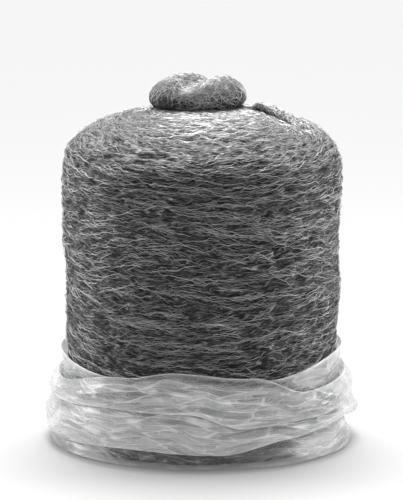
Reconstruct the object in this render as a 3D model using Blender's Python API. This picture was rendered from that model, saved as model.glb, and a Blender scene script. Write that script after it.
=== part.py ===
"""A roll of steel wool that stands in its own pushed-down plastic bag, with a folded wad on top.

The frame: +Z is up, the origin is on the floor under the roll's axis, and -Y is the front.
The roll is one long sliver of wool, wound without a core, so all its turns are one solid. The outer end
of that sliver lies over the right shoulder. The wad rests on the crown. The bag is one piece of film: its
bottom lies under the roll, and its wall is rucked down into three slack folds, which are given here as
their outer shape.
"""

import math

import bmesh
import bpy
from mathutils import Vector, noise

# Driving dimensions, in metres.
ROLL_RADIUS = 0.1485
ROLL_GRIPPED_RADIUS = 0.1445
CROWN_HEIGHT = 0.3585
SHOULDER_HEIGHT = 0.290
CROWN_FULLNESS = 0.36
TAPER_FROM_HEIGHT, TAPER_TO_HEIGHT = 0.130, 0.270
FOOT_ROUNDING = 0.006

BAG_HEIGHT = 0.104
FILM_UNDER_ROLL = 0.0010
GAP = 0.0004
SIDE_CLEARANCE = 0.0012
WAD_CLEARANCE = 0.0008

# The wad's half width and depth, its height, the height of its widest ring, and the angle of its foot.
WAD_HALF_WIDTH, WAD_HALF_DEPTH, WAD_RISE = 0.0520, 0.0420, 0.0370
WAD_CENTRE_X = -0.0043
WAD_BELLY, WAD_FOOT_ANGLE = 0.0125, math.radians(128)
# How much higher the wad's right lobe stands than its left, for each metre across.
WAD_LEAN = 0.045

# The bag's three folds: (lower valley, upper valley, radius of the bulge), and the radius of a valley.
BAG_FOLDS = ((0.0000, 0.0210, 0.1690), (0.0210, 0.0480, 0.1655), (0.0480, 0.0900, 0.1620))
BAG_VALLEY_RADIUS = 0.1560
BAG_SOLE_RADIUS = 0.1500
BAG_RIM_RADIUS = 0.1490

# How far the wound turns swell and pinch, and how closely the swells follow each other.
SWELL = 0.0024
SWELLS_AROUND, SWELLS_PER_METRE = 1.3, 26.0
BAG_RUCK, RUCKS_AROUND, RUCKS_PER_METRE = 0.0030, 3.5, 45.0

# The sliver's outer end: the corner where it starts, the way its free edge runs, and its size.
TAIL_CORNER = Vector((0.056, -0.004))
TAIL_EDGE = Vector((0.75, -0.66))
TAIL_LIFT, TAIL_LENGTH, TAIL_WIDTH = 0.0100, 0.058, 0.034
TAIL_EDGE_WIDTH = 0.006

# The crease that parts the wad's two lobes: a point on it, its direction, and its size.
CREASE_POINT = Vector((0.002, 0.0))
CREASE_DIRECTION = Vector((0.50, 0.87))
CREASE_DEPTH, CREASE_HALF_WIDTH = 0.0125, 0.0130

ROLL_SEGMENTS, BAG_SEGMENTS, WAD_SEGMENTS = 72, 60, 40
CROWN_RINGS, SIDE_RINGS, FOOT_RINGS, FOLD_RINGS, WAD_RINGS = 14, 16, 3, 6, 14


def clear_scene():
    for thing in list(bpy.data.objects):
        bpy.data.objects.remove(thing)


def finish(name, colour, roughness, metallic):
    """A plain material in the piece's own colour."""
    material = bpy.data.materials.new(name)
    material.use_nodes = True
    shader = material.node_tree.nodes["Principled BSDF"]
    shader.inputs["Base Color"].default_value = (*colour, 1.0)
    shader.inputs["Roughness"].default_value = roughness
    shader.inputs["Metallic"].default_value = metallic
    return material


def smooth_step(start, end, value):
    """0 up to start and 1 from end, or the other way round where end is the lower."""
    share = min(max((value - start) / (end - start), 0.0), 1.0)
    return share * share * (3.0 - 2.0 * share)


def turned(name, profile, segments, material):
    """A solid of revolution about Z. The profile starts and ends on the axis."""
    mesh = bmesh.new()
    points = [mesh.verts.new((radius, 0.0, height)) for radius, height in profile]
    edges = [mesh.edges.new(pair) for pair in zip(points, points[1:])]
    bmesh.ops.spin(mesh, geom=points + edges, cent=(0, 0, 0), axis=(0, 0, 1), angle=math.tau, steps=segments)
    bmesh.ops.remove_doubles(mesh, verts=mesh.verts, dist=0.00001)
    bmesh.ops.recalc_face_normals(mesh, faces=mesh.faces)
    return new_object(name, mesh, material)


def new_object(name, mesh, material):
    data = bpy.data.meshes.new(name)
    mesh.to_mesh(data)
    mesh.free()
    data.materials.append(material)
    data.shade_smooth()
    thing = bpy.data.objects.new(name, data)
    bpy.context.scene.collection.objects.link(thing)
    return thing


def unevenness(point, around, per_metre):
    """Smooth noise from -1 to 1 that changes slowly round the axis and faster up it."""
    out = Vector((point.x, point.y, 0.0)).normalized() * around
    return noise.noise(Vector((out.x, out.y, point.z * per_metre))) * 2.0


def push_out(point, distance):
    out = Vector((point.x, point.y, 0.0))
    if out.length > 0.0:
        point += out.normalized() * distance


def crown_height(radius):
    """The height of the roll's domed top at a distance from the axis."""
    share = max(1.0 - (radius / ROLL_RADIUS) ** 2, 0.0)
    return SHOULDER_HEIGHT + (CROWN_HEIGHT - SHOULDER_HEIGHT) * share**CROWN_FULLNESS


def side_radius(height):
    share = smooth_step(TAPER_FROM_HEIGHT, TAPER_TO_HEIGHT, height)
    return ROLL_GRIPPED_RADIUS + (ROLL_RADIUS - ROLL_GRIPPED_RADIUS) * share


def roll_profile():
    """Down the crown, down the tapering side, round the foot and back to the axis."""
    sole = FILM_UNDER_ROLL + GAP
    crown = []
    for ring in range(CROWN_RINGS):
        radius = ROLL_RADIUS * math.sin(math.pi / 2 * ring / CROWN_RINGS)
        crown.append((radius, crown_height(radius)))
    side = []
    for ring in range(SIDE_RINGS + 1):
        height = SHOULDER_HEIGHT + (sole + FOOT_ROUNDING - SHOULDER_HEIGHT) * ring / SIDE_RINGS
        side.append((side_radius(height), height))
    foot = []
    for ring in range(1, FOOT_RINGS + 1):
        turn = math.pi / 2 * ring / FOOT_RINGS
        foot.append((
            side_radius(sole) - FOOT_ROUNDING * (1.0 - math.cos(turn)),
            sole + FOOT_ROUNDING * (1.0 - math.sin(turn)),
        ))
    return crown + side + foot + [(0.0, sole)]


def tail_lift(point):
    """How far the sliver's outer end stands above the crown: a steep free edge, fading behind it."""
    across = Vector((-TAIL_EDGE.y, TAIL_EDGE.x))
    from_corner = Vector((point.x, point.y)) - TAIL_CORNER
    along, behind = from_corner.dot(TAIL_EDGE), from_corner.dot(across)
    start = smooth_step(-TAIL_EDGE_WIDTH, TAIL_EDGE_WIDTH, along)
    fade = 1.0 - smooth_step(TAIL_LENGTH / 5, TAIL_LENGTH, along)
    edge = smooth_step(-TAIL_EDGE_WIDTH / 2, TAIL_EDGE_WIDTH / 2, behind)
    back = 1.0 - smooth_step(0.0, TAIL_WIDTH, behind)
    return TAIL_LIFT * start * fade * edge * back


def make_wool_roll(material):
    roll = turned("wool_roll", roll_profile(), ROLL_SEGMENTS, material)
    for vertex in roll.data.vertices:
        free = smooth_step(BAG_HEIGHT, TAPER_FROM_HEIGHT, vertex.co.z)
        free *= 1.0 - smooth_step(SHOULDER_HEIGHT, CROWN_HEIGHT, vertex.co.z)
        push_out(vertex.co, free * SWELL * unevenness(vertex.co, SWELLS_AROUND, SWELLS_PER_METRE))
        if vertex.co.z > SHOULDER_HEIGHT:
            vertex.co.z += tail_lift(vertex.co)
    return roll


def make_top_wad(material):
    """A pillow with a rounded overhang: its foot follows the crown, one crease parts its top."""
    mesh = bmesh.new()
    rings = []
    for ring in range(1, WAD_RINGS + 1):
        down = WAD_FOOT_ANGLE * ring / WAD_RINGS
        rings.append([mesh.verts.new(wad_point(down, segment)) for segment in range(WAD_SEGMENTS)])
    for share in (0.66, 0.33):
        rings.append([mesh.verts.new(wad_sole_point(share, segment)) for segment in range(WAD_SEGMENTS)])
    for upper, lower in zip(rings, rings[1:]):
        for segment in range(WAD_SEGMENTS):
            after = (segment + 1) % WAD_SEGMENTS
            mesh.faces.new((upper[segment], upper[after], lower[after], lower[segment]))
    poles = (mesh.verts.new(wad_point(0.0, 0)), rings[0]), (mesh.verts.new(wad_sole_point(0.0, 0)), rings[-1])
    for pole, ring in poles:
        for segment in range(WAD_SEGMENTS):
            mesh.faces.new((pole, ring[segment], ring[(segment + 1) % WAD_SEGMENTS]))
    bmesh.ops.recalc_face_normals(mesh, faces=mesh.faces)
    return new_object("top_wad", mesh, material)


def wad_plan(reach, segment):
    """The plan position of a wad point, out from its middle."""
    turn = math.tau * segment / WAD_SEGMENTS
    return WAD_CENTRE_X + WAD_HALF_WIDTH * reach * math.cos(turn), WAD_HALF_DEPTH * reach * math.sin(turn)


def wad_point(down, segment):
    """A point of the wad's skin, at an angle down from its top."""
    x, y = wad_plan(math.sin(down) ** 0.8 if down > 0.0 else 0.0, segment)
    across = Vector((CREASE_DIRECTION.y, -CREASE_DIRECTION.x))
    from_crease = (Vector((x, y)) - CREASE_POINT).dot(across)
    crease = CREASE_DEPTH * math.exp(-((from_crease / CREASE_HALF_WIDTH) ** 2)) * max(math.cos(down), 0.0)
    lean = WAD_LEAN * (x - WAD_CENTRE_X) * max(math.cos(down), 0.0)
    half = WAD_RISE - WAD_BELLY if down < math.pi / 2 else WAD_BELLY / -math.cos(WAD_FOOT_ANGLE)
    foot = crown_height(math.hypot(x, y)) + WAD_CLEARANCE
    return (x, y, foot + WAD_BELLY + half * math.cos(down) - crease + lean)


def wad_sole_point(share, segment):
    x, y = wad_plan(share * math.sin(WAD_FOOT_ANGLE) ** 0.8, segment)
    return (x, y, crown_height(math.hypot(x, y)) + WAD_CLEARANCE)


def bag_profile():
    """Up the inside from the axis, over the rim, down the three folds and back under to the axis."""
    inner = ROLL_GRIPPED_RADIUS + SIDE_CLEARANCE
    profile = [(0.0, FILM_UNDER_ROLL), (inner, FILM_UNDER_ROLL)]
    profile += [(inner, BAG_HEIGHT / 2), (inner, BAG_HEIGHT - 0.002)]
    profile += [((inner + BAG_RIM_RADIUS) / 2, BAG_HEIGHT), (BAG_RIM_RADIUS, BAG_HEIGHT - 0.003)]
    for low, high, bulge in reversed(BAG_FOLDS):
        for ring in range(FOLD_RINGS):
            share = ring / FOLD_RINGS
            out = math.sin(math.pi * share) ** 0.75
            valley = BAG_SOLE_RADIUS if high == BAG_FOLDS[-1][1] and ring == 0 else BAG_VALLEY_RADIUS
            profile.append((valley + (bulge - valley) * out, high + (low - high) * share))
    return profile + [(BAG_SOLE_RADIUS, 0.0), (0.0, 0.0)]


def make_plastic_bag(material):
    bag = turned("plastic_bag", bag_profile(), BAG_SEGMENTS, material)
    for vertex in bag.data.vertices:
        radius = math.hypot(vertex.co.x, vertex.co.y)
        if radius < BAG_SOLE_RADIUS + GAP or vertex.co.z <= 0.0:
            continue
        slack = smooth_step(BAG_SOLE_RADIUS, BAG_VALLEY_RADIUS, radius)
        push_out(vertex.co, slack * BAG_RUCK * unevenness(vertex.co, RUCKS_AROUND, RUCKS_PER_METRE))
    return bag


clear_scene()
steel = finish("steel_wool", (0.36, 0.36, 0.355), 0.45, 0.9)
film = finish("clear_film", (0.86, 0.87, 0.87), 0.3, 0.0)
make_wool_roll(steel)
make_top_wad(steel)
make_plastic_bag(film)
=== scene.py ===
import math
import random

import bpy
import numpy as np
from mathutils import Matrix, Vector, noise
from mathutils.bvhtree import BVHTree


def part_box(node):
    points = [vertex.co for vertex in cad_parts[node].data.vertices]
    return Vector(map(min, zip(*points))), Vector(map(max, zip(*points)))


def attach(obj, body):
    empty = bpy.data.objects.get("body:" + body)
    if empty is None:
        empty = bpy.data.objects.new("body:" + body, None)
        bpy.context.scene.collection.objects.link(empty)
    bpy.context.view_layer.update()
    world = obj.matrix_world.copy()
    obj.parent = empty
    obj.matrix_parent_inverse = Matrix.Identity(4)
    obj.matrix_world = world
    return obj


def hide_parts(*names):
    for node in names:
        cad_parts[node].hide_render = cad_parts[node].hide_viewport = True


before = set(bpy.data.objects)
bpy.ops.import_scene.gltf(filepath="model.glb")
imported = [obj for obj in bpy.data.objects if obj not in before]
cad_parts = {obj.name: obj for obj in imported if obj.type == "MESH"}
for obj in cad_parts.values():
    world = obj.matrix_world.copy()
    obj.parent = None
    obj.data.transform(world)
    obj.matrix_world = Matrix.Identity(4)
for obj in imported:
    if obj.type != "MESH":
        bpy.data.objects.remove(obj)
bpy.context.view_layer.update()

ROLL_LOW, ROLL_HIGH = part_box("wool_roll")
WAD_LOW, WAD_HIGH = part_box("top_wad")
BAG_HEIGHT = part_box("plastic_bag")[1].z
CROWN_HEIGHT = ROLL_HIGH.z
ROLL_RADIUS = (ROLL_HIGH.x - ROLL_LOW.x) / 2

# The camera: how far it stands from the roll's axis, how far above level it looks down, and what it looks at.
CAMERA_DISTANCE, CAMERA_ELEVATION, AIM_HEIGHT = 3.0, math.radians(10.0), 0.204
FRAME_HEIGHT = 0.5375

# The winding: how steeply the turns climb at the sides, and how much patches of it differ.
TURN_TILT, PATCH_TILT = 0.17, 0.16
STRAND_STEP = 0.0040
STRAND_RADIUS = 0.00029
STRAND_STEPS, STRAND_CRINKLE = (7, 18), 0.00058
LOCK_HEIGHT = 0.0016

# The fibres on the sliver's free end and on the wad: how many, how many steps each, and how crooked.
TAIL_STRANDS, TAIL_STEPS, TAIL_CRINKLE = 260, (6, 14), 0.0006
WAD_STRANDS, WAD_STEPS, WAD_CRINKLE = 1500, (4, 9), 0.0005
SHORT_STEP_SHARE = 0.8

# The free edge of the sliver's outer end: its corner, the way it runs, how far it stands up and its pocket.
TAIL_CORNER, TAIL_RUN, TAIL_STAND, TAIL_POCKET = (0.056, -0.004), (0.75, -0.66), 0.0012, 0.0085

# No strand runs lower than the foot level. The pocket is only on the crown, above its own level.
FOOT_LEVEL, POCKET_LEVEL = 0.006, CROWN_HEIGHT * 0.85

random.seed(7)


# Small tools --------------------------------------------------------------------------------------


def smooth_step(start, end, value):
    share = min(max((value - start) / (end - start), 0.0), 1.0)
    return share * share * (3.0 - 2.0 * share)


def select_only(piece):
    bpy.ops.object.select_all(action="DESELECT")
    piece.select_set(True)
    bpy.context.view_layer.objects.active = piece


def copy_of_node(node, name):
    """A merged copy of a CAD node's mesh, as an object of its own."""
    piece = bpy.data.objects.new(name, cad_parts[node].data.copy())
    piece.data.materials.clear()
    bpy.context.scene.collection.objects.link(piece)
    select_only(piece)
    bpy.ops.object.mode_set(mode="EDIT")
    bpy.ops.mesh.select_all(action="SELECT")
    bpy.ops.mesh.remove_doubles(threshold=0.00001)
    bpy.ops.mesh.tris_convert_to_quads()
    bpy.ops.object.mode_set(mode="OBJECT")
    return piece


def subdivide_smooth(piece, levels):
    modifier = piece.modifiers.new("smooth", "SUBSURF")
    modifier.levels = modifier.render_levels = levels
    select_only(piece)
    bpy.ops.object.modifier_apply(modifier=modifier.name)
    bpy.ops.object.shade_smooth()


def surface_of(piece):
    mesh = piece.data
    points = [vertex.co.copy() for vertex in mesh.vertices]
    return BVHTree.FromPolygons(points, [tuple(face.vertices) for face in mesh.polygons])


# Materials ----------------------------------------------------------------------------------------


class Nodes:
    """A node tree, with short calls to add a node and to join its sockets."""

    def __init__(self, tree):
        self.tree = tree

    def add(self, kind, values=None, **settings):
        node = self.tree.nodes.new(kind)
        for name, value in settings.items():
            setattr(node, name, value)
        for socket, value in (values or {}).items():
            if isinstance(value, bpy.types.NodeSocket):
                self.tree.links.new(value, node.inputs[socket])
            else:
                node.inputs[socket].default_value = value
        return node

    def join(self, source, target):
        self.tree.links.new(source, target)

    def math(self, operation, first, second=0.0):
        return self.add("ShaderNodeMath", {0: first, 1: second}, operation=operation).outputs[0]

    def vector(self, operation, first, second=(0.0, 0.0, 0.0)):
        return self.add("ShaderNodeVectorMath", {0: first, 1: second}, operation=operation).outputs[0]

    def ramp(self, value, stops):
        node = self.add("ShaderNodeValToRGB", {"Fac": value})
        for place, colour in stops[2:]:
            node.color_ramp.elements.new(place)
        for element, (place, colour) in zip(node.color_ramp.elements, stops):
            element.position = place
            element.color = (*colour, 1.0) if isinstance(colour, tuple) else (colour, colour, colour, 1.0)
        return node.outputs["Color"]


def new_material(name):
    material = bpy.data.materials.new(name)
    material.use_nodes = True
    nodes = Nodes(material.node_tree)
    return material, nodes, material.node_tree.nodes["Principled BSDF"]


def winding_group():
    """Fibres that run round the roll in two crossing sets, with gaps between them: a tone and a height; the
    deep wool paints the low tones of the gaps dark as painted shade.
    """
    tree = bpy.data.node_groups.new("winding streaks", "ShaderNodeTree")
    sockets = tree.interface
    for name in ("Stretch", "Fineness", "Waviness"):
        sockets.new_socket(name, in_out="INPUT", socket_type="NodeSocketFloat")
    for name in ("Tone", "Height"):
        sockets.new_socket(name, in_out="OUTPUT", socket_type="NodeSocketFloat")
    nodes = Nodes(tree)
    inputs = nodes.add("NodeGroupInput").outputs
    place = nodes.add("ShaderNodeTexCoord").outputs["Object"]
    parts = nodes.add("ShaderNodeSeparateXYZ", {0: place}).outputs
    flat = nodes.add("ShaderNodeCombineXYZ", {"X": parts["X"], "Y": parts["Y"]}).outputs[0]
    outward = nodes.vector("NORMALIZE", flat)
    stretched = {0: outward, "Scale": inputs["Stretch"]}
    round_way = nodes.add("ShaderNodeVectorMath", stretched, operation="SCALE").outputs[0]
    distance = nodes.add("ShaderNodeVectorMath", {0: flat}, operation="LENGTH").outputs["Value"]
    down = nodes.math("SUBTRACT", parts["Z"], distance)
    sets = []
    for scale, seed in ((38.0, 0.0), (47.0, 3.7)):
        moved = nodes.vector("ADD", place, (seed, seed, seed))
        waves = {"Vector": moved, "Scale": scale, "Detail": 2.0}
        swing = nodes.add("ShaderNodeTexNoise", waves).outputs["Fac"]
        wavy = nodes.math("ADD", down, nodes.math("MULTIPLY", swing, inputs["Waviness"]))
        level = nodes.math("MULTIPLY", wavy, inputs["Fineness"])
        up_way = nodes.add("ShaderNodeCombineXYZ", {"Z": level}).outputs[0]
        where = nodes.vector("ADD", nodes.vector("ADD", round_way, up_way), (seed, 0.0, 0.0))
        streaks = {"Vector": where, "Scale": 1.0, "Detail": 2.5}
        sets.append(nodes.add("ShaderNodeTexNoise", streaks).outputs["Fac"])
    tone = nodes.math("MAXIMUM", *sets)
    nodes.add("NodeGroupOutput", {"Tone": tone, "Height": tone})
    return tree


def wool_depth_material(streaks):
    """The deeper wool between the strands: crossing fibres, painted much darker than the strands as painted
    shade, darkest in the gaps between them, with painted light on faces that look up, as on the crown.
    """
    material, nodes, shader = new_material("deep wool")
    group = nodes.add("ShaderNodeGroup", node_tree=streaks)
    group.inputs["Stretch"].default_value = 17.0
    group.inputs["Fineness"].default_value = 640.0
    group.inputs["Waviness"].default_value = 0.010
    # Painted top light: wool whose surface looks up, as on the crown and the wad's top, is made lighter.
    facing = nodes.add("ShaderNodeNewGeometry").outputs["Normal"]
    upward = nodes.add("ShaderNodeSeparateXYZ", {0: facing}).outputs["Z"]
    crown = nodes.math("MULTIPLY", nodes.add("ShaderNodeClamp", {"Value": upward}).outputs[0], 0.15)
    value = nodes.math("ADD", group.outputs["Tone"], crown)
    # The ramp paints the low tones near black: painted shade in the gaps between fibres, and painted shade
    # that keeps the deeper wool darker than its strands.
    colour = nodes.ramp(value, ((0.47, 0.004), (0.60, 0.07), (0.76, 0.36)))
    relief = {"Height": group.outputs["Height"], "Strength": 1.0, "Distance": 0.003}
    bump = nodes.add("ShaderNodeBump", relief)
    nodes.join(colour, shader.inputs["Base Color"])
    nodes.join(bump.outputs["Normal"], shader.inputs["Normal"])
    shader.inputs["Metallic"].default_value = 0.5
    shader.inputs["Roughness"].default_value = 0.55
    return material


def fibre_material(name, darkest, lightest):
    """Bright drawn steel, each strand with its own tone and slow changes along it."""
    material, nodes, shader = new_material(name)
    island = nodes.add("ShaderNodeNewGeometry").outputs["Random Per Island"]
    place = nodes.add("ShaderNodeTexCoord").outputs["Object"]
    blotch = nodes.add("ShaderNodeTexNoise", {"Vector": place, "Scale": 160.0, "Detail": 2.0}).outputs["Fac"]
    value = nodes.math("ADD", nodes.math("MULTIPLY", island, 0.6), nodes.math("MULTIPLY", blotch, 0.4))
    colour = nodes.ramp(value, ((0.15, darkest), (0.85, lightest)))
    nodes.join(colour, shader.inputs["Base Color"])
    rough = nodes.math("ADD", nodes.math("MULTIPLY", blotch, 0.3), 0.3)
    nodes.join(rough, shader.inputs["Roughness"])
    shader.inputs["Metallic"].default_value = 0.7
    return material


def crease_group():
    """Crumpled film as long polygons round the bag: the lines between them, their tones and their dents."""
    tree = bpy.data.node_groups.new("film creases", "ShaderNodeTree")
    sockets = tree.interface
    for name in ("Stretch", "Fineness", "Slant"):
        sockets.new_socket(name, in_out="INPUT", socket_type="NodeSocketFloat")
    for name in ("Line", "Tone", "Height"):
        sockets.new_socket(name, in_out="OUTPUT", socket_type="NodeSocketFloat")
    nodes = Nodes(tree)
    inputs = nodes.add("NodeGroupInput").outputs
    place = nodes.add("ShaderNodeTexCoord").outputs["Object"]
    parts = nodes.add("ShaderNodeSeparateXYZ", {0: place}).outputs
    flat = nodes.add("ShaderNodeCombineXYZ", {"X": parts["X"], "Y": parts["Y"]}).outputs[0]
    outward = nodes.vector("NORMALIZE", flat)
    stretched = {0: outward, "Scale": inputs["Stretch"]}
    round_way = nodes.add("ShaderNodeVectorMath", stretched, operation="SCALE").outputs[0]
    swing = nodes.add("ShaderNodeTexNoise", {"Vector": place, "Scale": 10.0, "Detail": 2.0}).outputs["Fac"]
    level = nodes.math("MULTIPLY", parts["Z"], inputs["Fineness"])
    level = nodes.math("ADD", level, nodes.math("MULTIPLY", swing, inputs["Slant"]))
    up_way = nodes.add("ShaderNodeCombineXYZ", {"Z": level}).outputs[0]
    where = nodes.vector("ADD", round_way, up_way)
    edge = nodes.add("ShaderNodeTexVoronoi", {"Vector": where, "Scale": 1.0}, feature="DISTANCE_TO_EDGE")
    cell = nodes.add("ShaderNodeTexVoronoi", {"Vector": where, "Scale": 1.0}, feature="F1")
    line = nodes.add("ShaderNodeMapRange", {"Value": edge.outputs["Distance"], 2: 0.045, 3: 1.0, 4: 0.0})
    tone = nodes.add("ShaderNodeSeparateColor", {0: cell.outputs["Color"]}).outputs[0]
    nodes.add("NodeGroupOutput", {"Line": line.outputs[0], "Tone": tone, "Height": cell.outputs["Distance"]})
    return tree


def film_material(creases):
    """Thin milky polythene: clear where it clings to the wool, hazy where slack, with painted highlights as
    white lines along its creases and fold edges.
    """
    material, nodes, shader = new_material("milky film")
    place = nodes.add("ShaderNodeTexCoord").outputs["Object"]
    depth = nodes.add("ShaderNodeAttribute", attribute_name="haze").outputs["Fac"]
    crease_highlight_mask = nodes.add("ShaderNodeAttribute", attribute_name="crease_highlight").outputs["Fac"]
    clouds = {"Vector": place, "Scale": 24.0, "Detail": 3.0, "Distortion": 0.8}
    cloudy = nodes.add("ShaderNodeTexNoise", clouds)
    fine = nodes.add("ShaderNodeTexNoise", {"Vector": place, "Scale": 140.0, "Detail": 3.0})
    sets = []
    for stretch, fineness, slant in ((2.2, 120.0, 5.0), (4.6, 260.0, 9.0)):
        values = {"Stretch": stretch, "Fineness": fineness, "Slant": slant}
        group = nodes.add("ShaderNodeGroup", node_tree=creases)
        for name, value in values.items():
            group.inputs[name].default_value = value
        sets.append(group.outputs)
    large, small = sets
    tone = nodes.math("MULTIPLY", nodes.math("ADD", large["Tone"], small["Tone"]), 0.5)
    haze = nodes.math("ADD", nodes.math("MULTIPLY", depth, 0.29), 0.03)
    patchy = nodes.math("MULTIPLY", haze, nodes.ramp(cloudy.outputs["Fac"], ((0.32, 0.7), (0.68, 1.0))))
    patchy = nodes.math("MULTIPLY", patchy, nodes.math("ADD", nodes.math("MULTIPLY", tone, 1.3), 0.55))
    # The crease lines and the fold-edge mask are painted highlights: they raise the opacity and whiten the
    # tint.
    strong, faint = nodes.math("MULTIPLY", large["Line"], 0.30), nodes.math("MULTIPLY", small["Line"], 0.16)
    lines = nodes.math("ADD", strong, faint)
    lines = nodes.math("MULTIPLY", lines, nodes.math("ADD", nodes.math("MULTIPLY", depth, 0.7), 0.3))
    haze_and_highlight = nodes.math("ADD", patchy, nodes.math("MULTIPLY", crease_highlight_mask, 0.34))
    facing = nodes.add("ShaderNodeLayerWeight", {"Blend": 0.4}).outputs["Facing"]
    haze_and_highlight = nodes.math("ADD", haze_and_highlight, nodes.math("MULTIPLY", lines, nodes.math("SUBTRACT", 1.0, facing)))
    grazing = nodes.math("MULTIPLY", nodes.math("POWER", facing, 3.0), nodes.math("MULTIPLY", depth, 0.26))
    solid = nodes.math("ADD", haze_and_highlight, grazing)
    nodes.join(nodes.add("ShaderNodeClamp", {"Value": solid, "Max": 0.85}).outputs[0], shader.inputs["Alpha"])
    # The tint is whiter where the haze and the painted highlights are strong.
    tint = nodes.ramp(haze_and_highlight, ((0.1, (0.68, 0.69, 0.695)), (0.55, (0.88, 0.88, 0.88))))
    nodes.join(tint, shader.inputs["Base Color"])
    rough = nodes.ramp(fine.outputs["Fac"], ((0.3, 0.16), (0.7, 0.28)))
    nodes.join(rough, shader.inputs["Roughness"])
    deep = nodes.math("MULTIPLY", large["Height"], 0.6)
    shallow = nodes.math("MULTIPLY", small["Height"], 0.25)
    dents = nodes.math("ADD", deep, shallow)
    bump = nodes.add("ShaderNodeBump", {"Height": dents, "Strength": 0.6, "Distance": 0.004})
    nodes.join(bump.outputs["Normal"], shader.inputs["Normal"])
    shader.inputs["IOR"].default_value = 1.5
    return material


# The wool -----------------------------------------------------------------------------------------


def streaky_noise(point, around, per_metre):
    """Noise that is long round the roll and short up it and across the crown, from about -1 to 1."""
    flat = Vector((point.x, point.y, 0.0))
    distance = flat.length
    turn = flat * (around / max(distance, 0.001))
    return noise.noise(Vector((turn.x, turn.y, (point.z - distance) * per_metre))) * 2.0


def gap_at(point):
    """How much the place is a gap between two locks of wool: 0 on a lock, 1 in a gap."""
    value = streaky_noise(point, 8.0, 190.0) + 0.7 * streaky_noise(point, 14.0, 400.0)
    crown = smooth_step(0.9, 1.0, point.z / CROWN_HEIGHT)
    return smooth_step(0.0, -0.95, value) * (1.0 - 0.8 * crown)


def tail_shares(point):
    """How much a place is on the sliver's free end, and how much it is in the dark pocket before its edge."""
    along = (point.x - TAIL_CORNER[0]) * TAIL_RUN[0] + (point.y - TAIL_CORNER[1]) * TAIL_RUN[1]
    behind = (point.y - TAIL_CORNER[1]) * TAIL_RUN[0] - (point.x - TAIL_CORNER[0]) * TAIL_RUN[1]
    behind += 0.003 * noise.noise(Vector((along * 90.0, 0.0, 0.0)))
    start = smooth_step(-0.010, 0.004, along) * (1.0 - smooth_step(0.025, 0.075, along))
    raised = smooth_step(-0.001, 0.002, behind) * (1.0 - smooth_step(0.008, 0.045, behind))
    pocket = smooth_step(-0.012, -0.003, behind) * (1.0 - smooth_step(-0.003, -0.001, behind))
    return start * raised, start * pocket


def shape_wool(piece, amount):
    """Locks that stand proud and gaps that lie back, all over a wool body."""
    places = [vertex.co.copy() for vertex in piece.data.vertices]
    normals = [vertex.normal.copy() for vertex in piece.data.vertices]
    for place, normal in zip(places, normals):
        above_bag = smooth_step(BAG_HEIGHT * 0.5, BAG_HEIGHT, place.z)
        height = 0.6 - 2.2 * gap_at(place)
        place += normal * (height * amount * (0.3 + 0.7 * above_bag))
        if normal.z > 0.3:
            raised, pocket = tail_shares(place)
            place.z += TAIL_STAND * raised - TAIL_POCKET * pocket
    piece.data.vertices.foreach_set("co", np.array(places).ravel())
    piece.data.update()


def heading_at(point, normal, previous, lean):
    """The way the wool runs: round the roll, lower in front than behind, and across the crown."""
    distance = math.hypot(point.x, point.y)
    around = Vector((-point.y, point.x, 0.0)) / max(distance, 1e-6)
    up = normal.cross(around)
    slope = TURN_TILT * point.x / ROLL_RADIUS + PATCH_TILT * streaky_noise(point, 1.3, 7.0) + lean
    wound = (around + up * slope).normalized()
    if previous is None:
        return wound
    if previous.dot(wound) < 0.0:
        wound = -wound
    share = smooth_step(0.055, 0.110, distance)
    return (wound * share + previous * (1.0 - share)).normalized()


def trace_strand(surface, start, first_heading, steps, lean):
    """The points and normals of one strand that follows the winding over a surface."""
    point, normal, _, _ = surface.find_nearest(start)
    heading = first_heading
    path = []
    for _ in range(steps):
        in_pocket = point.z > POCKET_LEVEL and tail_shares(point)[1] > 0.35
        if gap_at(point) > 0.80 or point.z < FOOT_LEVEL or in_pocket:
            break
        path.append((point, normal))
        heading = heading_at(point, normal, heading, lean)
        heading = (heading - normal * heading.dot(normal)).normalized()
        point, normal, _, _ = surface.find_nearest(point + heading * STRAND_STEP)
    return path


def crimp(path, lift, crinkle):
    """The strand's own crooked line: it wanders, kinks at every step and stands off the surface."""
    points = np.array([point for point, normal in path])
    normals = np.array([normal for point, normal in path])
    tangents = np.gradient(points, axis=0)
    sideways = np.cross(normals, tangents)
    sideways /= np.linalg.norm(sideways, axis=1)[:, None] + 1e-9
    count = len(path)
    along = np.arange(count) * STRAND_STEP
    wave = 0.0009 * np.sin(along * math.tau / random.uniform(0.024, 0.05) + random.uniform(0, 6.3))
    kinks = np.array([random.gauss(0.0, crinkle) for _ in range(count)])
    heights = np.array([abs(random.gauss(0.0, crinkle * 0.8)) for _ in range(count)]) + lift
    ends = np.sin(np.linspace(0.0, math.pi, count)) ** 0.4
    points = points + sideways * (wave + kinks)[:, None] + normals * (heights * (0.35 + 0.65 * ends))[:, None]
    return points, normals


def tube_faces(count):
    """The side faces of one three-sided tube with count rings."""
    rings = np.arange(count - 1)[:, None] * 3
    sides = np.arange(3)[None, :]
    after = (sides + 1) % 3
    corners = (rings + sides, rings + after, rings + after + 3, rings + sides + 3)
    return np.stack(corners, axis=2).reshape(-1, 4)


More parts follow.
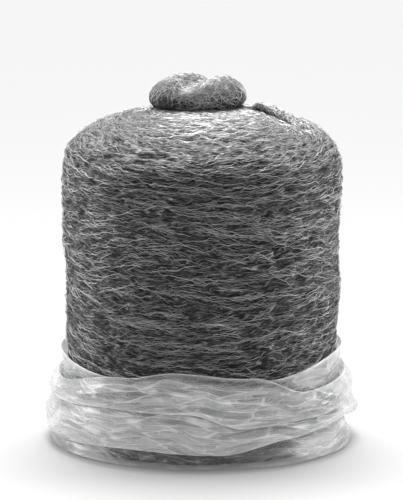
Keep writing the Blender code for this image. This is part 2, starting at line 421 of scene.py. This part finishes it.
def tubes(name, strands, radius, material):
    """One mesh of closed three-sided tubes, one for each strand, with its own place on the UV map."""
    vertices, quads, caps, quad_uvs, cap_uvs = [], [], [], [], []
    cells = math.ceil(math.sqrt(len(strands)))
    corner_turns = np.arange(3) * math.tau / 3
    base = 0
    for number, (points, normals) in enumerate(strands):
        count = len(points)
        tangents = np.gradient(points, axis=0)
        tangents /= np.linalg.norm(tangents, axis=1)[:, None] + 1e-12
        across = np.cross(tangents, normals)
        across /= np.linalg.norm(across, axis=1)[:, None] + 1e-12
        upright = np.cross(across, tangents)
        rank = np.arange(count)
        taper = radius * np.minimum(1.0, 0.3 + np.minimum(rank, rank[::-1]) * 0.7)
        spokes = np.cos(corner_turns)[None, :, None] * upright[:, None]
        spokes = spokes + np.sin(corner_turns)[None, :, None] * across[:, None]
        vertices.append((points[:, None] + taper[:, None, None] * spokes).reshape(-1, 3))
        faces = tube_faces(count)
        last = (count - 1) * 3
        ends = np.array(((0, 2, 1), (last, last + 1, last + 2)))
        quads.append(faces + base)
        caps.append(ends + base)
        cell = np.array((number % cells, number // cells))
        ring, side = faces // 3, np.array(((0, 1, 1, 0),)) + faces[:, :1] % 3
        quad_uvs.append((cell + 0.08 + 0.84 * np.stack((ring / (count - 1), side / 3), axis=2)) / cells)
        cap_place = np.stack((ends // 3 / (count - 1), ends % 3 / 3), axis=2)
        cap_uvs.append((cell + 0.08 + 0.84 * cap_place) / cells)
        base += count * 3
    vertices = np.concatenate(vertices)
    quads, caps = np.concatenate(quads), np.concatenate(caps)
    corners = np.concatenate((quads.ravel(), caps.ravel()))
    mesh = bpy.data.meshes.new(name)
    mesh.vertices.add(len(vertices))
    mesh.vertices.foreach_set("co", vertices.ravel())
    mesh.loops.add(len(corners))
    mesh.loops.foreach_set("vertex_index", corners)
    mesh.polygons.add(len(quads) + len(caps))
    quad_starts = np.arange(len(quads)) * 4
    cap_starts = quads.size + np.arange(len(caps)) * 3
    mesh.polygons.foreach_set("loop_start", np.concatenate((quad_starts, cap_starts)))
    mesh.update(calc_edges=True)
    layer = mesh.uv_layers.new(name="OFBake")
    uvs = np.concatenate((np.concatenate(quad_uvs).ravel(), np.concatenate(cap_uvs).ravel()))
    layer.data.foreach_set("uv", uvs.astype(np.float32))
    mesh.validate()
    mesh.shade_smooth()
    mesh.materials.append(material)
    piece = bpy.data.objects.new(name, mesh)
    bpy.context.scene.collection.objects.link(piece)
    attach(piece, "root")
    return piece


def random_start(low, high):
    """A place by the roll's side at a height between low and high."""
    turn = random.uniform(0.0, math.tau)
    outward = Vector((math.cos(turn), math.sin(turn), 0.0)) * ROLL_RADIUS * 1.05
    return outward + Vector((0, 0, random.uniform(low, high)))


def crown_start():
    """A place over the crown, evenly spread."""
    turn, distance = random.uniform(0.0, math.tau), ROLL_RADIUS * math.sqrt(random.random())
    return Vector((math.cos(turn) * distance, math.sin(turn) * distance, CROWN_HEIGHT + 0.02))


def first_heading():
    turn = random.gauss(0.0, 0.6)
    return Vector((math.cos(turn), math.sin(turn), 0.0))


def wind_strands(surface, count, start, lean_spread, lengths, lift, crinkle):
    strands = []
    while len(strands) < count:
        lean = random.gauss(0.0, lean_spread)
        path = trace_strand(surface, start(), first_heading(), random.randint(*lengths), lean)
        if len(path) >= 5:
            strands.append(crimp(path, random.uniform(*lift), crinkle))
    return strands


def tail_fibres(surface):
    """Short fibres on the sliver's free end, which run along its edge."""
    corner = Vector(TAIL_CORNER).to_3d()
    fibres = []
    while len(fibres) < TAIL_STRANDS:
        start = corner + Vector((random.uniform(-0.004, 0.062), random.uniform(-0.050, 0.022), CROWN_HEIGHT))
        point, normal, _, _ = surface.find_nearest(start)
        heading = Vector((TAIL_RUN[0], TAIL_RUN[1] + random.gauss(0.15, 0.35), -0.2))
        path = []
        for _ in range(random.randint(*TAIL_STEPS)):
            path.append((point, normal))
            heading = (heading - normal * heading.dot(normal)).normalized()
            point, normal, _, _ = surface.find_nearest(point + heading * STRAND_STEP * SHORT_STEP_SHARE)
        fibres.append(crimp(path, random.uniform(0.0004, 0.0020), TAIL_CRINKLE))
    return fibres


def make_wool(streaks):
    deep = wool_depth_material(streaks)
    bright = fibre_material("outer fibre", 0.10, 0.78)
    # The inner strands' fibre is the same steel painted darker: painted shade for strands that lie deep in
    # the wool.
    shaded_fibre = fibre_material("inner fibre", 0.04, 0.46)
    soft = fibre_material("crown fibre", 0.28, 0.62)

    body = copy_of_node("wool_roll", "wool_body")
    subdivide_smooth(body, 2)
    shape_wool(body, LOCK_HEIGHT)
    body.data.materials.append(deep)
    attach(body, "root")
    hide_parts("wool_roll")
    surface = surface_of(body)

    side = lambda: random_start(BAG_HEIGHT * 0.05, ROLL_HIGH.z * 0.90)
    layers = (
        ("inner_strands", shaded_fibre, 2100, side, 0.20, (0.0002, 0.0006)),
        ("side_strands", bright, 2100, side, 0.12, (0.0004, 0.0011)),
        ("loose_strands", bright, 1900, side, 0.26, (0.0006, 0.0016)),
        ("crown_strands", soft, 2200, crown_start, 0.34, (0.0003, 0.0018)),
    )
    for name, material, count, start, spread, lift in layers:
        strands = wind_strands(surface, count, start, spread, STRAND_STEPS, lift, STRAND_CRINKLE)
        tubes(name, strands, STRAND_RADIUS, material)
    tubes("tail_strands", tail_fibres(surface), STRAND_RADIUS, bright)



def make_wad():
    deep = bpy.data.materials["deep wool"]
    # The wad's fibre is the same steel painted lighter than the roll's outer fibre: painted light on the wad,
    # which sits on top.
    bright = fibre_material("wad fibre", 0.22, 0.88)
    wad = copy_of_node("top_wad", "wad_body")
    subdivide_smooth(wad, 1)
    wad.data.materials.append(deep)
    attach(wad, "root")
    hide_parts("top_wad")
    surface = surface_of(wad)

    def start():
        turn, height = random.uniform(0, math.tau), random.uniform(WAD_LOW.z, WAD_HIGH.z)
        return Vector((math.cos(turn) * WAD_HIGH.x * random.random(), math.sin(turn) * WAD_HIGH.y, height))

    strands = []
    while len(strands) < WAD_STRANDS:
        point, normal, _, _ = surface.find_nearest(start())
        if random.random() > 0.25 + 0.75 * smooth_step(-0.1, 0.6, normal.z):
            continue
        heading = Vector((random.gauss(0, 1.0), random.gauss(0, 0.7), random.gauss(0, 0.6)))
        path = []
        for _ in range(random.randint(*WAD_STEPS)):
            if point.z < WAD_LOW.z + 0.003:
                break
            path.append((point, normal))
            heading = (heading - normal * heading.dot(normal)).normalized()
            point, normal, _, _ = surface.find_nearest(point + heading * STRAND_STEP * SHORT_STEP_SHARE)
        if len(path) >= 4:
            strands.append(crimp(path, random.uniform(0.0001, 0.0011), WAD_CRINKLE))
    tubes("wad_strands", strands, STRAND_RADIUS * 0.75, bright)


# The bag ------------------------------------------------------------------------------------------

BAG_WALL_RADIUS = 0.1472
FOLD_BULGE = (0.1635, 0.1680)
BAG_COLUMNS, BAG_ROWS_PER_SPAN = 288, 6
FILM_THICKNESS, LOWEST_FILM, SOFT_DENTS, SHARP_DENTS = 0.0002, 0.0006, 0.0024, 0.0013

# Heights in metres round the bag, as (degrees from the front towards +X, height).
RIM = ((-90, 0.101), (-35, 0.090), (0, 0.084), (25, 0.090), (75, 0.105), (180, 0.106))
TOP_FOLD = ((-75, 0.074), (-31, 0.093), (-10, 0.102), (20, 0.095), (45, 0.073), (100, 0.080), (180, 0.090))
UPPER_LIP = ((-70, 0.055), (-30, 0.060), (-5, 0.060), (16, 0.044), (45, 0.046), (75, 0.052), (180, 0.050))
LOWER_LIP = ((-65, 0.016), (-25, 0.021), (8, 0.018), (33, 0.030), (62, 0.037), (110, 0.022), (180, 0.018))


def height_round(points, degrees):
    """The height at an angle, on a smooth closed line through the points."""
    degrees = (degrees + 360.0) % 360.0
    wrapped = sorted(((angle + 360.0) % 360.0, height) for angle, height in points)
    wrapped = [(wrapped[-1][0] - 360.0, wrapped[-1][1])] + wrapped + [(wrapped[0][0] + 360.0, wrapped[0][1])]
    for (start, low), (end, high) in zip(wrapped, wrapped[1:]):
        if start <= degrees <= end:
            return low + (high - low) * smooth_step(start, end, degrees)
    return wrapped[-1][1]


def bag_stations(degrees):
    """The film's section at an angle, rim to floor: rows of radius, height, slack, haze and a painted
    highlight along the fold edge.
    """
    wall = BAG_WALL_RADIUS
    turn = math.radians(degrees)
    drift = noise.noise(Vector((math.sin(turn) * 1.7, math.cos(turn) * 1.7, 3.0)))
    hem = 0.0035 * noise.noise(Vector((math.sin(turn) * 3.1, math.cos(turn) * 3.1, 7.0)))
    rim = height_round(RIM, degrees)
    top = height_round(TOP_FOLD, degrees)
    upper = height_round(UPPER_LIP, degrees)
    lower = height_round(LOWER_LIP, degrees)
    bulge_one = FOLD_BULGE[0] + 0.0035 * drift
    bulge_two = FOLD_BULGE[1] - 0.0030 * drift
    inner_one = top - 0.018
    inner_two = min(upper - 0.004, lower + 0.030)
    from_front = min(degrees, 360.0 - degrees)
    clear = 1.0 - smooth_step(24.0, 52.0, from_front)
    milk = 1.0 - 0.16 * (1.0 - smooth_step(30.0, 65.0, from_front))
    return (
        (wall + 0.0040, rim, 0.2, 0.9 - 0.7 * clear, 1.0),
        (wall + 0.0020, (rim + inner_one) / 2, 0.2, 0.8 - 0.7 * clear, 0.0),
        (wall + 0.0022, inner_one, 0.1, 0.5 - 0.4 * clear, 0.0),
        (wall + 0.0050, top - 0.003, 0.15, 0.5 - 0.4 * clear, 0.2),
        (wall + 0.0082, top, 0.3, 0.7 - 0.3 * clear, 1.0),
        (bulge_one - 0.006, top * 0.90 + upper * 0.10, 0.5, 0.8 - 0.7 * clear, 0.0),
        (bulge_one - 0.003, top * 0.76 + upper * 0.24, 0.9, 0.9 * milk, 0.6),
        (bulge_one, (top + upper) / 2, 1.0, milk, 0.0),
        (bulge_one + 0.0005, upper + 0.006, 0.9, milk, 0.2),
        (bulge_one - 0.0015, upper, 0.6, 1.0, 1.0),
        (bulge_one - 0.0045, upper + 0.004, 0.4, 0.6, 0.0),
        (wall + 0.0078, inner_one - 0.010, 0.2, 0.5, 0.0),
        (wall + 0.0055, inner_one - 0.006, 0.1, 0.3, 0.0),
        (wall + 0.0052, inner_one - 0.014, 0.1, 0.3, 0.0),
        (bulge_two - 0.011, upper + 0.004, 0.4, 0.6, 0.0),
        (bulge_two - 0.002, upper * 0.62 + lower * 0.38, 0.9, 0.8 * milk, 0.0),
        (bulge_two, (upper + lower) / 2, 1.0, milk, 0.0),
        (bulge_two, lower + 0.005, 0.8, milk, 0.2),
        (bulge_two - 0.0020, lower, 0.5, 1.0, 1.0),
        (bulge_two - 0.0050, lower + 0.004, 0.4, 0.5, 0.0),
        (wall + 0.0058, inner_two, 0.2, 0.4, 0.0),
        (wall + 0.0040, inner_two + 0.003, 0.1, 0.3, 0.0),
        (wall + 0.0050, inner_two - 0.005, 0.4, 0.3, 0.0),
        (wall + 0.0090 + hem, max(lower * 0.55, 0.0115), 0.7, 0.9 - 0.7 * clear, 0.0),
        (wall + 0.0150 + hem, 0.0050, 0.4, 0.8 - 0.65 * clear, 0.3),
        (wall + 0.0140 + hem, 0.0014, 0.1, 0.4 - 0.3 * clear, 0.6),
        (wall - 0.0150, 0.0007, 0.0, 0.1, 0.0),
        (wall - 0.0220, 0.0006, 0.0, 0.1, 0.0),
    )


def spline_through(points, per_span):
    """Points on a smooth line through the given ones, per_span to each span."""
    points = np.array(points)
    before = np.vstack((2 * points[0] - points[1], points[:-1]))
    ahead = np.vstack((points[1:], 2 * points[-1] - points[-2]))
    slopes = (ahead - before) / 2
    rows = []
    for start, end, leave, arrive in zip(points, points[1:], slopes, slopes[1:]):
        for step in range(per_span):
            t = step / per_span
            rows.append(
                start * (2 * t**3 - 3 * t**2 + 1) + leave * (t**3 - 2 * t**2 + t) * 0.8
                + end * (3 * t**2 - 2 * t**3) + arrive * (t**3 - t**2) * 0.8
            )
    rows.append(points[-1])
    return np.array(rows)


def facets(u, v, count, size, shape, seed):
    """Creased, flat-sided dents: the nearest of many tilted pyramids, on a strip that closes on itself.
    shape is how long, how high and how slanting the dents are."""
    chooser = np.random.default_rng(seed)
    length = u.max() - u.min()
    longest, flattest, slant = shape
    best = np.full(u.shape, 9.0)
    for _ in range(count):
        centre_u, centre_v = chooser.uniform(u.min(), u.max()), chooser.uniform(v.min(), v.max())
        turn = chooser.normal(0.0, slant)
        across = (u - centre_u + length / 2) % length - length / 2
        upward = v - centre_v
        along = across * math.cos(turn) + upward * math.sin(turn)
        along = along / (size * chooser.uniform(0.4 * longest, longest))
        cross = upward * math.cos(turn) - across * math.sin(turn)
        cross = cross / (size * chooser.uniform(0.5 * flattest, flattest))
        skew = chooser.uniform(-0.6, 0.6)
        reach = np.maximum(np.abs(along + skew * cross), np.abs(cross)) + chooser.uniform(0.0, 0.3)
        best = np.minimum(best, reach)
    return np.minimum(best, 1.6)


def softened(grid):
    """The grid with each value drawn to its neighbours, round the bag and down the film."""
    grid = (np.roll(grid, 1, axis=0) + 2 * grid + np.roll(grid, -1, axis=0)) / 4
    grid[:, 1:-1] = (grid[:, :-2] + 2 * grid[:, 1:-1] + grid[:, 2:]) / 4
    return grid


def make_bag():
    turns = np.linspace(0.0, math.tau, BAG_COLUMNS, endpoint=False)
    sections = [spline_through(bag_stations(math.degrees(turn)), BAG_ROWS_PER_SPAN) for turn in turns]
    grid = np.array(sections)
    radius, height = grid[:, :, 0], grid[:, :, 1]
    slack, haze = np.clip(grid[:, :, 2], 0.0, 1.0), np.clip(grid[:, :, 3], 0.0, 1.0)
    span = np.zeros(radius.shape)
    steps = np.hypot(np.diff(radius, axis=1), np.diff(height, axis=1)).mean(axis=0)
    span[:, 1:] = np.cumsum(steps)[None, :]
    around = np.repeat((turns * 0.16)[:, None], radius.shape[1], axis=1)
    soft_shape, sharp_shape = (2.6, 0.7, 0.30), (3.6, 0.55, 0.22)
    soft = facets(around, span, 200, 0.030, soft_shape, 1) - facets(around, span, 200, 0.026, soft_shape, 2)
    sharp = facets(around, span, 520, 0.013, sharp_shape, 3)
    sharp = sharp - facets(around, span, 520, 0.012, sharp_shape, 4)
    dents = SOFT_DENTS * soft
    dents += SHARP_DENTS * sharp
    dents = softened(dents)
    ridges = np.zeros(dents.shape)
    ridges[:, 1:-1] = dents[:, 1:-1] * 2 - dents[:, :-2] - dents[:, 2:]
    ridges += dents * 2 - np.roll(dents, 1, axis=0) - np.roll(dents, -1, axis=0)
    # A painted highlight: white lines along the fold edges (the fifth station column) and along the dent
    # ridges, which raise the film's opacity and whiten its tint.
    edge = np.clip(grid[:, :, 4], 0.0, 1.0) ** 5
    crease_highlight = np.clip(np.clip(ridges / 0.0006 - 0.5, 0.0, 1.0) * slack + edge, 0.0, 1.0)
    radius = radius + slack * dents
    height = height + slack * 0.0012 * (facets(around, span, 200, 0.030, soft_shape, 5) - 0.6)
    radius = np.maximum(radius, BAG_WALL_RADIUS - 0.022)
    height = np.maximum(height, LOWEST_FILM)
    x = radius * np.sin(turns)[:, None]
    y = -radius * np.cos(turns)[:, None]
    columns, rows = radius.shape
    vertices = np.stack((x, y, height), axis=2).reshape(-1, 3).tolist()
    faces = []
    for column in range(columns):
        after = (column + 1) % columns
        for row in range(rows - 1):
            near, far = column * rows + row, after * rows + row
            faces.append((near, near + 1, far + 1, far))
    centre = len(vertices)
    vertices.append((0.0, 0.0, LOWEST_FILM))
    for column in range(columns):
        after = (column + 1) % columns
        faces.append((column * rows + rows - 1, centre, after * rows + rows - 1))
    mesh = bpy.data.meshes.new("bag_film")
    mesh.from_pydata(vertices, [], faces)
    for name, values in (("haze", haze), ("crease_highlight", crease_highlight)):
        layer = mesh.attributes.new(name, "FLOAT", "POINT")
        layer.data.foreach_set("value", np.append(values.ravel(), 0.0).astype(np.float32))
    piece = bpy.data.objects.new("bag_film", mesh)
    bpy.context.scene.collection.objects.link(piece)
    wall = piece.modifiers.new("thickness", "SOLIDIFY")
    wall.thickness = FILM_THICKNESS
    wall.offset = 1.0
    select_only(piece)
    bpy.ops.object.mode_set(mode="EDIT")
    bpy.ops.mesh.select_all(action="SELECT")
    bpy.ops.mesh.normals_make_consistent(inside=False)
    bpy.ops.object.mode_set(mode="OBJECT")
    bpy.ops.object.modifier_apply(modifier=wall.name)
    bpy.ops.object.shade_smooth()
    piece.data.materials.append(film_material(crease_group()))
    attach(piece, "root")
    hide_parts("plastic_bag")
    return piece


# The studio ---------------------------------------------------------------------------------------


FLOOR_TONE, FLOOR_GLOW, AIR_STRENGTH = 0.47, 0.08, 0.46
SUN_STRENGTH, SUN_SPREAD, SUN_LEAN = 4.3, math.radians(34), math.radians(-18)

# Each lamp's place, size across and power.
LAMPS = {
    "left softbox": ((-1.5, 0.35, 0.55), 0.9, 14.0),
    "right softbox": ((1.5, 0.35, 0.55), 0.9, 14.0),
    "front spark": ((0.25, -2.2, 1.6), 0.08, 6.0),
}


def area_light(name, place, target, size, power):
    light = bpy.data.lights.new(name, "AREA")
    light.shape, light.size, light.energy = "DISK", size, power
    lamp = bpy.data.objects.new(name, light)
    lamp.location = place
    lamp.rotation_euler = (Vector(target) - Vector(place)).to_track_quat("-Z", "Y").to_euler()
    bpy.context.scene.collection.objects.link(lamp)


def make_studio():
    bpy.ops.mesh.primitive_circle_add(vertices=96, radius=14.0, fill_type="NGON", location=(0.0, 4.0, 0.0))
    floor = bpy.context.object
    floor.name = "studio_floor"
    material, nodes, shader = new_material("pale floor")
    shader.inputs["Base Color"].default_value = (FLOOR_TONE, FLOOR_TONE, FLOOR_TONE, 1.0)
    shader.inputs["Roughness"].default_value = 0.75
    shader.inputs["Specular IOR Level"].default_value = 0.2
    shader.inputs["Emission Color"].default_value = (1.0, 1.0, 1.0, 1.0)
    shader.inputs["Emission Strength"].default_value = FLOOR_GLOW
    floor.data.materials.append(material)

    world = bpy.data.worlds.new("studio air")
    world.use_nodes = True
    world.node_tree.nodes["Background"].inputs["Color"].default_value = (1.0, 1.0, 1.0, 1.0)
    world.node_tree.nodes["Background"].inputs["Strength"].default_value = AIR_STRENGTH
    bpy.context.scene.world = world

    sun = bpy.data.lights.new("overhead", "SUN")
    sun.energy = SUN_STRENGTH
    sun.angle = SUN_SPREAD
    lamp = bpy.data.objects.new("overhead", sun)
    lamp.rotation_euler = (SUN_LEAN, 0.0, 0.0)
    bpy.context.scene.collection.objects.link(lamp)
    middle = (0.0, 0.0, 0.18)
    for name, (place, size, power) in LAMPS.items():
        area_light(name, place, middle, size, power)
    bpy.context.scene.view_settings.view_transform = "Standard"


def make_camera():
    lens_height = 36.0
    camera = bpy.data.cameras.new("camera")
    camera.sensor_fit = "VERTICAL"
    camera.sensor_height = lens_height
    camera.lens = lens_height * CAMERA_DISTANCE / FRAME_HEIGHT
    camera.clip_end = 100.0
    holder = bpy.data.objects.new("camera", camera)
    back = -CAMERA_DISTANCE * math.cos(CAMERA_ELEVATION)
    holder.location = (0.0, back, AIM_HEIGHT + CAMERA_DISTANCE * math.sin(CAMERA_ELEVATION))
    holder.rotation_euler = (math.pi / 2 - CAMERA_ELEVATION, 0.0, 0.0)
    bpy.context.scene.collection.objects.link(holder)
    bpy.context.scene.camera = holder


make_camera()
make_wool(winding_group())
make_wad()
make_bag()
make_studio()
